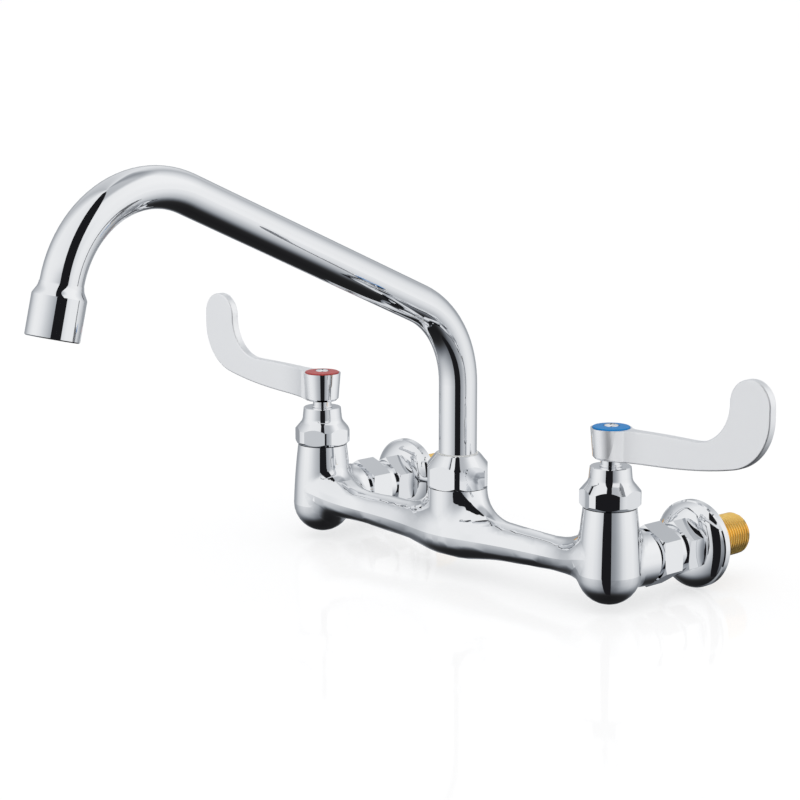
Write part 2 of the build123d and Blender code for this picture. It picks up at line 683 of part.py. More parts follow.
def aerator_washer():
    """Rubber washer above the aerator insert."""
    start = TUBE_IN_NOZZLE + NOZZLE_LEDGE
    outer = NOZZLE_BORE_RADIUS - THREAD_GAP
    return on_outlet(ring(outer, outer - AERATOR_WASHER_WIDTH, start, start + AERATOR_WASHER))


def bell_point(slope):
    """Point on the bell curve of the bonnet where it leans by slope from upright."""
    lean = BONNET_BELL_RADIUS * (1 - math.cos(slope))
    return (BONNET_NECK_RADIUS + lean, BONNET_NECK_Z - BONNET_BELL_RADIUS * math.sin(slope))


def bonnet(side):
    """Hexagon bonnet with its threaded skirt and bell-shaped neck."""
    corner = BONNET_CORNER_RADIUS
    slope = math.radians(BONNET_BELL_SLOPE)
    bell_middle = bell_point(slope / 2)
    bell_end = bell_point(slope)
    cone_foot = bell_end[1] - (corner - bell_end[0]) / math.tan(slope)
    chamfer_top = BONNET_FOOT_Z + HEX_CHAMFER
    with BuildPart() as part:
        with BuildSketch(Plane.XZ):
            with BuildLine():
                Polyline(
                    (0, BONNET_FOOT_Z),
                    (BARREL_TOP_RADIUS, BONNET_FOOT_Z),
                    (corner, chamfer_top),
                    (corner, cone_foot),
                    bell_end,
                )
                ThreePointArc(bell_end, bell_middle, (BONNET_NECK_RADIUS, BONNET_NECK_Z))
                Polyline(
                    (BONNET_NECK_RADIUS, BONNET_NECK_Z),
                    (BONNET_TOP_RADIUS, BONNET_TOP_Z - BONNET_EDGE),
                    (BONNET_TOP_RADIUS - BONNET_EDGE, BONNET_TOP_Z),
                    (0, BONNET_TOP_Z),
                    (0, BONNET_FOOT_Z),
                )
            make_face()
        revolve(axis=Axis.Z)
    shell = part.part & hexagon(BONNET_FLATS, BONNET_FOOT_Z, BONNET_TOP_Z, BONNET_TURNS[side])
    shell += rod(BONNET_SKIRT_RADIUS, BONNET_SKIRT_Z, BONNET_FOOT_Z)
    shelf = BONNET_SKIRT_Z + STEM_FLANGE_HEIGHT + SEAT_GAP
    shell -= rod(BONNET_CAVITY_RADIUS, BONNET_SKIRT_Z, shelf)
    shell -= rod(BONNET_RELIEF_RADIUS, shelf, BONNET_RELIEF_TOP_Z)
    shell -= rod(STEM_RADIUS + RUNNING_GAP, BONNET_RELIEF_TOP_Z, BONNET_TOP_Z)
    return on_valve(shell, side)


def bonnet_seal(side):
    """Rubber ring under the bonnet."""
    low = BARREL_TOP_Z - SEAL_POCKET_DEPTH
    outer = SEAL_POCKET_RADIUS - THREAD_GAP
    inner = BONNET_SKIRT_RADIUS + THREAD_GAP
    seal = ring(outer, inner, low, low + BONNET_SEAL_THICKNESS)
    return on_valve(seal, side)


def cartridge_cage(side):
    """Plastic cage round the ceramic discs, with an outlet window at each side."""
    foot = VALVE_SEAT_Z + SEAT_GAP
    cage = ring(CAGE_RADIUS, CAGE_RADIUS - CAGE_WALL, foot, BONNET_SKIRT_Z)
    window_height = CAGE_WINDOW_HEAD_Z - CAGE_WINDOW_SILL_Z
    window_z = (CAGE_WINDOW_HEAD_Z + CAGE_WINDOW_SILL_Z) / 2
    cage -= Pos(0, 0, window_z) * Box(3 * CAGE_RADIUS, CAGE_WINDOW_WIDTH, window_height)
    return on_valve(cage, side)


def seat_seal(side):
    """Rubber ring between the valve seat and the fixed disc."""
    seal = ring(DISC_RADIUS, DISC_RADIUS - SEAT_SEAL_WALL, VALVE_SEAT_Z, FIXED_DISC_Z)
    return on_valve(seal, side)


def ported_disc(low, turn):
    """Ceramic disc with two opposite ports, the first turn degrees round from +X."""
    with BuildPart() as part:
        with BuildSketch(Plane.XY.offset(low)):
            Circle(DISC_RADIUS)
            middle = (PORT_INNER_RADIUS + PORT_OUTER_RADIUS) / 2
            width = PORT_OUTER_RADIUS - PORT_INNER_RADIUS
            for start in (turn, turn + 180):
                arc = CenterArc((0, 0), middle, start - PORT_ANGLE / 2, PORT_ANGLE)
                SlotArc(arc, width, mode=Mode.SUBTRACT)
        extrude(amount=DISC_THICKNESS)
    return part.part


def fixed_disc(side):
    """Lower ceramic disc, held in the cage."""
    return on_valve(ported_disc(FIXED_DISC_Z, 0), side)


def drive_bar(length, width, low, high):
    """Bar across the foot of the stem."""
    return Pos(0, 0, (low + high) / 2) * Box(length, width, high - low)


def moving_disc(side):
    """Upper ceramic disc, closed at rest, with the slot that the stem turns."""
    slot = drive_bar(
        DRIVE_BAR_LENGTH + 2 * THREAD_GAP,
        DRIVE_BAR_WIDTH + 2 * THREAD_GAP,
        STEM_FOOT_Z - DRIVE_BAR_DEPTH,
        STEM_FOOT_Z,
    )
    return on_valve(ported_disc(MOVING_DISC_Z, 90) - slot, side)


def stem(side):
    """Spindle from the drive bar to the lever's socket."""
    flange_top = BONNET_SKIRT_Z + STEM_FLANGE_HEIGHT
    clip_low = BONNET_TOP_Z + SEAT_GAP
    body = rod(STEM_LOWER_RADIUS, STEM_FOOT_Z, BONNET_SKIRT_Z)
    body += rod(STEM_FLANGE_RADIUS, BONNET_SKIRT_Z, flange_top)
    body += rod(STEM_RADIUS, flange_top, HUB_FOOT_Z)
    body += rod(STEM_TIP_RADIUS, HUB_FOOT_Z, STEM_TIP_TOP_Z)
    body += drive_bar(DRIVE_BAR_LENGTH, DRIVE_BAR_WIDTH, STEM_FOOT_Z - DRIVE_BAR_DEPTH, STEM_FOOT_Z + OVERRUN)
    body -= rod(STEM_TAPPED_RADIUS, STEM_TIP_TOP_Z - STEM_TAPPED_DEPTH, STEM_TIP_TOP_Z)
    ring_bottom = STEM_RADIUS + RUNNING_GAP - STEM_RING_THICKNESS - 2 * RING_GAP
    ring_half = STEM_RING_THICKNESS / 2 + THREAD_GAP
    body -= ring(STEM_RADIUS + OVERRUN, ring_bottom, STEM_RING_Z - ring_half, STEM_RING_Z + ring_half)
    body -= ring(STEM_RADIUS + OVERRUN, STEM_RADIUS - CLIP_GROOVE_DEPTH, clip_low, clip_low + CLIP_THICKNESS)
    return on_valve(body, side)


def stem_o_ring(side):
    """O-ring between stem and bonnet neck."""
    outer = STEM_RADIUS + RUNNING_GAP - RING_GAP
    return on_valve(o_ring(outer, STEM_RING_THICKNESS, STEM_RING_Z), side)


def stem_clip(side):
    """Split ring that keeps the stem in the bonnet."""
    low = BONNET_TOP_Z + SEAT_GAP
    inner = STEM_RADIUS - CLIP_GROOVE_DEPTH + RING_GAP
    return on_valve(split_ring(CLIP_RADIUS, inner, low, low + CLIP_THICKNESS, CLIP_OPENING, 90), side)


def blade_side():
    """Side view of the blade: x out from the valve axis, y up."""
    heel_x = BLADE_REACH - BLADE_HEEL_RADIUS
    heel_z = BLADE_HEEL_Z + BLADE_HEEL_RADIUS
    tip_z = BLADE_TIP_Z - BLADE_TIP_RADIUS
    tip_inner_x = BLADE_REACH - 2 * BLADE_TIP_RADIUS
    crook_x = tip_inner_x - BLADE_CROOK_RADIUS
    crook_z = BLADE_CROOK_Z + BLADE_CROOK_RADIUS
    slope = math.radians(BLADE_HEEL_START)
    heel_start = (
        heel_x + BLADE_HEEL_RADIUS * math.sin(slope),
        heel_z - BLADE_HEEL_RADIUS * math.cos(slope),
    )
    with BuildSketch(Plane.XZ) as outline:
        with BuildLine():
            Spline((0, HUB_FOOT_Z), heel_start, tangents=((1, 0), (math.cos(slope), math.sin(slope))))
            CenterArc((heel_x, heel_z), BLADE_HEEL_RADIUS, BLADE_HEEL_START - 90, 90 - BLADE_HEEL_START)
            Line((BLADE_REACH, heel_z), (BLADE_REACH, tip_z))
            CenterArc((BLADE_REACH - BLADE_TIP_RADIUS, tip_z), BLADE_TIP_RADIUS, 0, 180)
            Line((tip_inner_x, tip_z), (tip_inner_x, crook_z))
            CenterArc((crook_x, crook_z), BLADE_CROOK_RADIUS, 0, -90)
            rim = (HUB_RIM_RADIUS, HUB_TOP_Z)
            Spline((crook_x, BLADE_CROOK_Z), rim, tangents=((-1, 0), (-1, -BLADE_TOP_DIP)))
            Polyline((HUB_RIM_RADIUS, HUB_TOP_Z), (0, HUB_TOP_Z), (0, HUB_FOOT_Z))
        make_face()
    return outline.sketch


def blade_plan():
    """Top view of the blade, which flares into the hub."""
    half = BLADE_THICKNESS / 2
    angle = math.radians(BLADE_FLARE_START)
    root = (HUB_FOOT_RADIUS * math.cos(angle), HUB_FOOT_RADIUS * math.sin(angle))
    leaving = (math.sin(angle), -math.cos(angle))
    with BuildSketch(Plane.XY) as outline:
        with BuildLine():
            Line((0, 0), root)
            Spline(root, (BLADE_FLARE_LENGTH, half), tangents=(leaving, (1, 0)))
            end = BLADE_REACH + OVERRUN
            Polyline((BLADE_FLARE_LENGTH, half), (end, half), (end, 0), (0, 0))
        make_face()
        mirror(about=Plane.XZ)
    return outline.sketch


def blade():
    """Wrist blade with rounded edges."""
    thick = extrude(blade_side(), HUB_RIM_RADIUS, both=True)
    tall = Pos(0, 0, HUB_FOOT_Z - OVERRUN) * extrude(blade_plan(), BLADE_TIP_Z)
    body = thick & tall
    edges = body.edges().filter_by(lambda edge: edge.bounding_box().max.X > BLADE_FLARE_LENGTH)
    faces = body.faces().filter_by(Axis.Y)
    rim = [edge for edge in edges if any(edge in face.edges() for face in faces)]
    return fillet(rim, BLADE_EDGE)


def handle(side):
    """Lever: hub, socket, disc seat and wrist blade."""
    hub = turned(
        (0, HUB_FOOT_Z),
        (HUB_FOOT_RADIUS - HUB_EDGE, HUB_FOOT_Z),
        (HUB_FOOT_RADIUS, HUB_FOOT_Z + HUB_EDGE),
        (HUB_RIM_RADIUS, HUB_TOP_Z),
        (0, HUB_TOP_Z),
    )
    lever = hub + blade()
    lever -= rod(STEM_TIP_RADIUS + THREAD_GAP, HUB_FOOT_Z, HUB_SOCKET_TOP_Z)
    lever -= rod(SCREW_HOLE_RADIUS, HUB_SOCKET_TOP_Z, DISC_SEAT_Z)
    lever -= rod(DISC_SEAT_RADIUS, DISC_SEAT_Z, HUB_TOP_Z + HUB_EDGE)
    return on_valve(Rot(0, 0, 0 if side > 0 else 180) * lever, side)


def index_disc(side):
    """Coloured disc with a shallow crown and a pocket for the screw's head."""
    disc = turned(
        (SCREW_HOLE_RADIUS, DISC_SEAT_Z),
        (INDEX_RADIUS, DISC_SEAT_Z),
        (INDEX_RADIUS, INDEX_EDGE_Z - INDEX_EDGE),
        (INDEX_RADIUS - INDEX_EDGE, INDEX_EDGE_Z),
        (INDEX_POCKET_RADIUS, INDEX_CROWN_Z),
        (INDEX_POCKET_RADIUS, INDEX_POCKET_Z),
        (SCREW_HOLE_RADIUS, INDEX_POCKET_Z),
    )
    return on_valve(disc, side)


def handle_screw(side):
    """Screw that holds disc and lever on the stem."""
    head_top = INDEX_POCKET_Z + SCREW_HEAD_HEIGHT
    head = rod(SCREW_HEAD_RADIUS, INDEX_POCKET_Z, head_top)
    head = fillet(head.edges().group_by(Axis.Z)[-1], SCREW_HEAD_EDGE)
    return on_valve(head + rod(SCREW_SHANK_RADIUS, INDEX_POCKET_Z - SCREW_LENGTH, INDEX_POCKET_Z), side)


ONCE = [
    mixing_body,
    spout_nut,
    spout_guide_ring,
    spout_base,
    spout_o_rings,
    spout_snap_ring,
    spout_tube,
    spout_nozzle,
    aerator_insert,
    aerator_washer,
]
EACH_SIDE = [
    bonnet,
    bonnet_seal,
    cartridge_cage,
    seat_seal,
    fixed_disc,
    union_washer,
    coupling_nut,
    inlet_tail,
    wall_flange,
    inlet_nipple,
    handle,
    index_disc,
    handle_screw,
    stem,
    stem_o_ring,
    stem_clip,
    moving_disc,
]

os.makedirs("parts", exist_ok=True)
for make in ONCE:
    export_step(make(), f"parts/{make.__name__}.step")
for make in EACH_SIDE:
    for name, side in SIDES.items():
        export_step(make(side), f"parts/{name}_{make.__name__}.step")
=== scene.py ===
"""Looks of the commercial wall faucet: camera, light, floor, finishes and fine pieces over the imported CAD.

Metres. +X runs to the cold side, +Y into the wall and +Z up.
"""
import json
import math

import bmesh
import bpy
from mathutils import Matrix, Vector


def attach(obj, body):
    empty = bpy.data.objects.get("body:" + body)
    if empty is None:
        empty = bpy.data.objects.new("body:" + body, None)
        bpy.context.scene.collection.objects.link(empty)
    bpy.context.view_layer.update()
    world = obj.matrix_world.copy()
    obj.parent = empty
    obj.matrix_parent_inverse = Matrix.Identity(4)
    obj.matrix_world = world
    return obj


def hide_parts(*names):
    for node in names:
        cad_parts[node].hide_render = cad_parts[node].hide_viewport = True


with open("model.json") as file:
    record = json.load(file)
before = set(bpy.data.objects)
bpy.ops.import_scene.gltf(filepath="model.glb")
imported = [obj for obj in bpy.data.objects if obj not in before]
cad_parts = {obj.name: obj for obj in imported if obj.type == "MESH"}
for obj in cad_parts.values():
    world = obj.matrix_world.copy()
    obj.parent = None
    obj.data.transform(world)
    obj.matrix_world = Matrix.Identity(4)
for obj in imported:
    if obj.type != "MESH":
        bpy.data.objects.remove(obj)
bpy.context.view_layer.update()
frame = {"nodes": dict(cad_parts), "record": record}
NODES = frame["nodes"]

MM = 0.001
VALVE_X = 0.1016
AXIS_Y = -0.064
SIDES = {"hot": -1, "cold": 1}
BODY_OF = {"hot": "hot_lever", "cold": "cold_lever"}

# Camera, fitted to the photograph
CAMERA_PLACE = (0.82765, -0.89406, 0.28857)
CAMERA_AZIMUTH = math.radians(46.33)
CAMERA_ELEVATION = math.radians(10.76)
FOCAL_PIXELS = 2390.5
FRAME_PIXELS = 800
SENSOR = 36.0
CLIP_START = 0.01
CLIP_END = 200.0

# Floor
FLOOR_Z = -0.0220
FLOOR_HALF = 30.0
FLOOR_DARK = (0.40, 0.40, 0.402)
FLOOR_LIGHT = (0.405, 0.405, 0.405)
FLOOR_CLOUD_SCALE = 3.0
FLOOR_ROUGHNESS = 0.6
FLOOR_GLOW = 0.695
FLOOR_MIRROR = 0.10
FLOOR_MIRROR_ROUGHNESS = 0.06

# Dark card beside the camera
FLAG_DISTANCE = 0.50
FLAG_AZIMUTH = math.radians(43.5)
FLAG_HALF_WIDTH = 0.150
FLAG_DROP = 1.4
FLAG_RISE = 4.5
FLAG_COLOUR = (0.012, 0.012, 0.014)

# Suns as (name, strength, width, elevation, azimuth), angles in degrees
SUNS = (("key", 0.45, 60.0, 60.0, 20.0), ("fill", 0.2, 90.0, 45.0, 110.0))

# Brightness of the studio walls as (degrees round from the camera, grey), low down and high up
LOW_WALLS = (
    (-180, 0.40), (-148, 0.40), (-132, 0.50), (-116, 0.72), (-100, 0.87), (-84, 0.96), (-66, 0.95),
    (-50, 0.85), (-30, 0.62), (-10, 0.45), (10, 0.32), (30, 0.55), (46, 0.82), (62, 0.94), (90, 0.97),
    (109, 0.86), (125, 0.72), (145, 0.42), (180, 0.40),
)
HIGH_WALLS = (
    (-180, 0.88), (-160, 0.72), (-135, 0.58), (-110, 0.82), (-88, 0.97), (-40, 0.95), (0, 0.90),
    (40, 0.95), (100, 1.04), (121, 0.84), (150, 0.56), (166, 0.74), (180, 0.88),
)
# Elevations in degrees between which the low walls give way to the high ones
LIFT_START = 4
LIFT_FULL = 28
# Share of the walls' brightness as (degrees up, grey)
LEVELS = (
    (-90, 0.04), (-74, 0.11), (-65, 0.20), (-57, 0.30), (-47, 0.43), (-37, 0.60), (-25, 0.78), (-13, 0.95),
    (-2, 1.0), (90, 0.95),
)
# Dark pit below, leaning away from the camera: lean, depth of its floor, width of its soft edge, brightness
PIT_SLANT = 0.34
PIT_DEPTH = 0.95
PIT_EDGE = 0.34
PIT_TONE = 0.06
# Grey half of the ceiling, to the right of the camera: share and tone, elevations in degrees where it starts
# and is full, and the rightward part of a direction where it starts and is full
CEILING_SHADE = 0.45
CEILING_TONE = (0.12, 0.12, 0.12)
CEILING_START = 50
CEILING_FULL = 64
CEILING_EDGE = -0.02
CEILING_INSIDE = 0.08
# Colour that each brightness is shown in
SHOWN = (
    (0.0, (0.012, 0.012, 0.013)),
    (0.04, (0.038, 0.039, 0.041)),
    (0.15, (0.128, 0.138, 0.156)),
    (0.45, (0.405, 0.425, 0.452)),
    (0.80, (0.790, 0.802, 0.818)),
    (1.0, (1.0, 1.0, 1.0)),
)
# Even light for everything that is no mirror, and the background that the camera sees
PLAIN_LIGHT = (0.80, 0.80, 0.805)
BACKGROUND = (1.0, 1.0, 1.0)

# Chrome
WORN_SHARE = 0.975
HAZE_LOW = 0.0084
HAZE_HIGH = 0.0182
HAZE_WIPED = 0.007
CLOUD_SCALE = 38.0
WIPE_SCALE = 900.0
SWELL_SCALE = 42.0
SWELL_STRENGTH = 0.05
SWELL_HEIGHT = 0.2 * MM
# Satin part of a lever: roughness, and the distances inside and outside the valve axis where it starts
# and is full
SATIN_ROUGHNESS = 0.45
SATIN_START = 2.0 * MM
SATIN_FULL = 3.0 * MM
# Root of the blade: distances outside the valve axis where the turned shading starts, is full, fades and ends
ROOT_START = 4.2 * MM
ROOT_FULL = 8.6 * MM
ROOT_FADE = 10.6 * MM
ROOT_END = 12.4 * MM
# Upright share of the normal up to which it is turned, and from which it is left alone
ROOT_LEVEL = 0.3
ROOT_STEEP = 0.7

# Machined metal and moulded parts
MARK_SCALE = 1400.0
MARK_STRENGTH = 0.25
MARK_HEIGHT = 0.05 * MM
BLOTCH_SCALE = 160.0
MOULD_CLOUD_SCALE = 180.0
MOULD_HEIGHT = 0.04 * MM
MOULD_UNEVEN = 0.03

# Threaded nipples
PITCH = 1.814 * MM
NIPPLE_RADIUS = 10.478 * MM
NIPPLE_BORE = 7.0 * MM
NIPPLE_START = -18.0 * MM
NIPPLE_END = 30.4 * MM
NIPPLE_CHAMFER = 1.0 * MM
SHANK_RADIUS = 10.2 * MM
SHANK_END = -1.5 * MM
STEP_HALF = 0.01 * MM
PLAIN_RELIEF = 0.12 * MM
THREAD_START = 3.0 * MM
THREAD_DEPTH = 1.0 * MM
THREAD_ROOT_SHARE = 0.14
THREAD_FLANK_SHARE = 0.72
RUN_IN_TURNS = 1.5
NIPPLE_AROUND = 96
ROWS_PER_TURN = 10

# Handle screws
SHANK_LOW = 56.2 * MM
SHANK_CHAMFER = 0.3 * MM
SCREW_RADIUS = 2.0 * MM
HEAD_LOW = 67.2 * MM
HEAD_RADIUS = 3.5 * MM
HEAD_EDGE = 0.1 * MM
HEAD_RIM = 0.55 * MM
HEAD_RISE = 1.3 * MM
CROWN_STEPS = 9
SCREW_AROUND = 48
RECESS_HALF = 1.75 * MM
RECESS_WIDTH = 0.75 * MM
RECESS_DEPTH = 1.2 * MM
RECESS_OVER = 0.2 * MM
RECESS_TOP_SHARE = 1.06
RECESS_FOOT_SHARE = 0.45
RECESS_TAPER = 0.2
RECESS_TURN = {"hot": 65, "cold": 20}
# Space round the screw's axis in which its steel gets painted shade: the recess, below the crown
RECESS_SHADE_RADIUS = 2.0 * MM
RECESS_SHADE_LOW = 67.3 * MM
RECESS_SHADE_HIGH = 68.34 * MM
RECESS_PAINTED_SHADE = (0.03, 0.03, 0.03)

SHARP_ANGLE = math.radians(38)
CUT_SHARP_ANGLE = math.radians(35)


# ---------------------------------------------------------------- node helpers
def new_tree(owner):
    """Empties the node tree of a material or world and gives it an output."""
    owner.use_nodes = True
    tree = owner.node_tree
    tree.nodes.clear()
    kind = "ShaderNodeOutputWorld" if isinstance(owner, bpy.types.World) else "ShaderNodeOutputMaterial"
    return tree, tree.nodes.new(kind)


def add(tree, kind, inputs=None, **settings):
    """One node with its settings; inputs maps a socket name or number to a value or another node's socket."""
    node = tree.nodes.new("ShaderNode" + kind)
    for name, value in settings.items():
        setattr(node, name, value)
    for key, value in (inputs or {}).items():
        if isinstance(value, bpy.types.NodeSocket):
            tree.links.new(value, node.inputs[key])
        else:
            node.inputs[key].default_value = value
    return node


def maths(tree, operation, first, second=0.0):
    return add(tree, "Math", {0: first, 1: second}, operation=operation).outputs[0]


def scaled(tree, value, factor, offset):
    """value * factor + offset."""
    return add(tree, "Math", {0: value, 1: factor, 2: offset}, operation="MULTIPLY_ADD").outputs[0]


def ramp(tree, factor, stops):
    """A linear colour ramp; each stop is (position, grey or colour)."""
    node = add(tree, "ValToRGB", {0: factor})
    elements = node.color_ramp.elements
    while len(elements) > 1:
        elements.remove(elements[-1])
    for index, (place, colour) in enumerate(stops):
        element = elements[0] if index == 0 else elements.new(place)
        element.position = place
        if isinstance(colour, (int, float)):
            colour = (colour, colour, colour)
        element.color = (*colour, 1.0)
    return node.outputs[0]


def mixed(tree, factor, first, second, blend="MIX"):
    node = add(tree, "Mix", {0: factor, 6: first, 7: second}, data_type="RGBA", blend_type=blend)
    return node.outputs[2]


def span(tree, value, low, high):
    """Maps 0..1 to low..high."""
    return add(tree, "MapRange", {0: value, 3: low, 4: high}).outputs[0]


def smooth(tree, value, start, full, low=0.0):
    """Smooth step from low at start to 1 at full."""
    inputs = {0: value, 1: start, 2: full, 3: low}
    return add(tree, "MapRange", inputs, interpolation_type="SMOOTHSTEP").outputs[0]


def noise(tree, vector, scale, detail=4.0, roughness=0.55):
    inputs = {"Vector": vector, "Scale": scale, "Detail": detail, "Roughness": roughness}
    return add(tree, "TexNoise", inputs).outputs[0]


def stretched(tree, vector, factors):
    """Object coordinates scaled by axis, so that a pattern runs in streaks."""
    return add(tree, "Mapping", {"Vector": vector, "Scale": factors}).outputs[0]


# ---------------------------------------------------------------- materials
def new_material(name):
    """A material with an empty tree, as (material, tree, output, object coordinates)."""
    material = bpy.data.materials.new(name)
    tree, output = new_tree(material)
    return material, tree, output, add(tree, "TexCoord").outputs["Object"]


def cover(tree, output, inputs):
    """Puts a principled shader with these inputs on the output."""
    shader = add(tree, "BsdfPrincipled", inputs)
    tree.links.new(shader.outputs[0], output.inputs[0])


def blended_root(tree, outward):
    """Normals that turn from the round hub to the flat blade over the root, as a cast root does."""
    facing = add(tree, "TexCoord").outputs["Normal"]
    parts = add(tree, "SeparateXYZ", {0: facing}).outputs
    flat = add(tree, "CombineXYZ", {1: maths(tree, "SIGN", parts[1])}).outputs[0]
    steepness = maths(tree, "ABSOLUTE", parts[2])
    begun = smooth(tree, outward, VALVE_X + ROOT_START, VALVE_X + ROOT_FULL)
    not_past = smooth(tree, outward, VALVE_X + ROOT_END, VALVE_X + ROOT_FADE)
    upright = smooth(tree, steepness, ROOT_STEEP, ROOT_LEVEL)
    share = maths(tree, "MULTIPLY", maths(tree, "MULTIPLY", begun, not_past), upright)
    turned = add(tree, "Mix", {0: share, 4: facing, 5: flat}, data_type="VECTOR").outputs[1]
    change = {"vector_type": "NORMAL", "convert_from": "OBJECT", "convert_to": "WORLD"}
    return add(tree, "VectorTransform", {0: turned}, **change).outputs[0]


def chrome(name, tint, wave, streak=(1.0, 1.0, 1.0), satin=False):
    """Polished chrome plate: a nearly clean mirror with faint waviness, haze and wiping marks.

    wave scales the waviness, and streak does to the wiping marks what grain does in metal(). A satin lever
    is polished on the inner side of its hub and dull from there along its blade.
    """
    material, tree, output, place = new_material(name)
    cloud = noise(tree, place, CLOUD_SCALE, detail=5.0)
    wiping = noise(tree, stretched(tree, place, streak), WIPE_SCALE, detail=3.0)
    swell = noise(tree, place, SWELL_SCALE, detail=0.0)
    worn = [channel * WORN_SHARE for channel in tint]
    tone = mixed(tree, cloud, (*worn, 1.0), (*tint, 1.0))
    rough = maths(tree, "ADD", span(tree, cloud, HAZE_LOW, HAZE_HIGH), span(tree, wiping, 0.0, HAZE_WIPED))
    low = add(tree, "Bump", {"Strength": SWELL_STRENGTH * wave, "Distance": SWELL_HEIGHT, "Height": swell})
    if satin:
        outward = maths(tree, "ABSOLUTE", add(tree, "SeparateXYZ", {0: place}).outputs[0])
        reach = {0: outward, 1: VALVE_X - SATIN_START, 2: VALVE_X + SATIN_FULL}
        towards_blade = add(tree, "MapRange", reach).outputs[0]
        rough = maths(tree, "ADD", rough, maths(tree, "MULTIPLY", towards_blade, SATIN_ROUGHNESS))
        tree.links.new(blended_root(tree, outward), low.inputs["Normal"])
    cover(tree, output, {"Base Color": tone, "Metallic": 1.0, "Roughness": rough, "Normal": low.outputs[0]})
    return material


def recess_shade_mask(tree, place):
    """Mask for the painted shade of a handle screw: 1 inside its cross recess, 0 elsewhere."""
    parts = add(tree, "SeparateXYZ", {0: place}).outputs
    sideways = maths(tree, "SUBTRACT", maths(tree, "ABSOLUTE", parts[0]), VALVE_X)
    forwards = maths(tree, "SUBTRACT", parts[1], AXIS_Y)
    squares = maths(
        tree, "ADD", maths(tree, "MULTIPLY", sideways, sideways), maths(tree, "MULTIPLY", forwards, forwards)
    )
    near_axis = maths(tree, "LESS_THAN", squares, RECESS_SHADE_RADIUS**2)
    above = maths(tree, "GREATER_THAN", parts[2], RECESS_SHADE_LOW)
    below = maths(tree, "LESS_THAN", parts[2], RECESS_SHADE_HIGH)
    return maths(tree, "MULTIPLY", near_axis, maths(tree, "MULTIPLY", above, below))


def metal(name, dark, light, rough_low, rough_high, grain, recess=False):
    """Bare metal with machining marks, long along the axes where grain is small and fine where it is large.

    recess paints shade into the cross recess of the handle screws.
    """
    material, tree, output, place = new_material(name)
    marks = noise(tree, stretched(tree, place, grain), MARK_SCALE, detail=3.0)
    blotch = noise(tree, place, BLOTCH_SCALE, detail=5.0, roughness=0.6)
    tone = mixed(tree, maths(tree, "MULTIPLY", marks, blotch), (*dark, 1.0), (*light, 1.0))
    if recess:
        # Painted shade: the steel goes dark inside the cross recess
        tone = mixed(tree, recess_shade_mask(tree, place), tone, (*RECESS_PAINTED_SHADE, 1.0))
    rough = span(tree, blotch, rough_low, rough_high)
    bump = add(tree, "Bump", {"Strength": MARK_STRENGTH, "Distance": MARK_HEIGHT, "Height": marks})
    cover(tree, output, {"Base Color": tone, "Metallic": 1.0, "Roughness": rough, "Normal": bump.outputs[0]})
    return material


def moulded(name, dark, light, rough_low, rough_high, speck=1200.0, strength=0.15, gloss=0.5):
    """Moulded or pressed non-metal with a slightly uneven tone and a fine surface."""
    material, tree, output, place = new_material(name)
    cloud = noise(tree, place, MOULD_CLOUD_SCALE, detail=5.0)
    fine = noise(tree, place, speck)
    tone = mixed(tree, cloud, (*dark, 1.0), (*light, 1.0))
    rough = maths(
        tree, "ADD", span(tree, cloud, rough_low, rough_high), span(tree, fine, -MOULD_UNEVEN, MOULD_UNEVEN)
    )
    bump = add(tree, "Bump", {"Strength": strength, "Distance": MOULD_HEIGHT, "Height": fine})
    inputs = {"Base Color": tone, "Roughness": rough, "Normal": bump.outputs[0], "Specular IOR Level": gloss}
    cover(tree, output, inputs)
    return material


PLATE = (0.858, 0.868, 0.884)
MATERIALS = {
    "chrome_body": chrome("chrome_body", PLATE, 1.0),
    "chrome_trim": chrome("chrome_trim", PLATE, 0.3, (1.0, 6.0, 1.0)),
    "chrome_spout": chrome("chrome_spout", PLATE, 0.6),
    # The levers' plate is tinted lighter than the body's: painted light that brightens the levers
    "chrome_lever": chrome("chrome_lever", (0.955, 0.960, 0.971), 0.7, satin=True),
    "chrome_stem": chrome("chrome_stem", (0.84, 0.85, 0.865), 0.2, (1.0, 1.0, 8.0)),
    "raw_brass": metal("raw_brass", (1.0, 0.61, 0.15), (1.0, 0.82, 0.34), 0.24, 0.36, (0.2, 6.0, 0.2)),
    # The steel of the handle screws carries painted shade in their cross recesses
    "steel": metal("steel", (0.90, 0.90, 0.91), (0.98, 0.98, 0.98), 0.08, 0.14, (1.0, 1.0, 1.0), True),
    "black_rubber": moulded(
        "black_rubber", (0.018, 0.018, 0.018), (0.04, 0.04, 0.04), 0.55, 0.75, speck=2600.0, strength=0.4
    ),
    "fibre_washer": moulded(
        "fibre_washer", (0.17, 0.07, 0.045), (0.30, 0.15, 0.10), 0.75, 0.9, speck=3200.0, strength=0.6
    ),
    "ceramic": moulded(
        "ceramic", (0.88, 0.86, 0.82), (0.94, 0.93, 0.90), 0.12, 0.22, speck=4000.0, strength=0.05
    ),
    "white_plastic": moulded("white_plastic", (0.82, 0.82, 0.79), (0.89, 0.89, 0.87), 0.35, 0.5),
    "grey_plastic": moulded("grey_plastic", (0.47, 0.48, 0.49), (0.58, 0.59, 0.60), 0.38, 0.52),
    "red_disc": moulded(
        "red_disc", (0.42, 0.050, 0.046), (0.50, 0.070, 0.066), 0.30, 0.38, 900.0, 0.08, gloss=0.25
    ),
    "blue_disc": moulded(
        "blue_disc", (0.001, 0.190, 0.52), (0.001, 0.228, 0.60), 0.30, 0.38, 900.0, 0.08, gloss=0.12
    ),
}

for part in frame["record"]["subparts"]:
    node = NODES[part["node"]]
    for material_slot in node.material_slots:
        material_slot.material = MATERIALS[part["material_slot"]]


# ---------------------------------------------------------------- mesh helpers
def smooth_shaded(mesh, sharp_angle):
    """Smooth shading, with edges sharper than the angle kept."""
    mesh.polygons.foreach_set("use_smooth", [True] * len(mesh.polygons))
    mesh.set_sharp_from_angle(angle=sharp_angle)


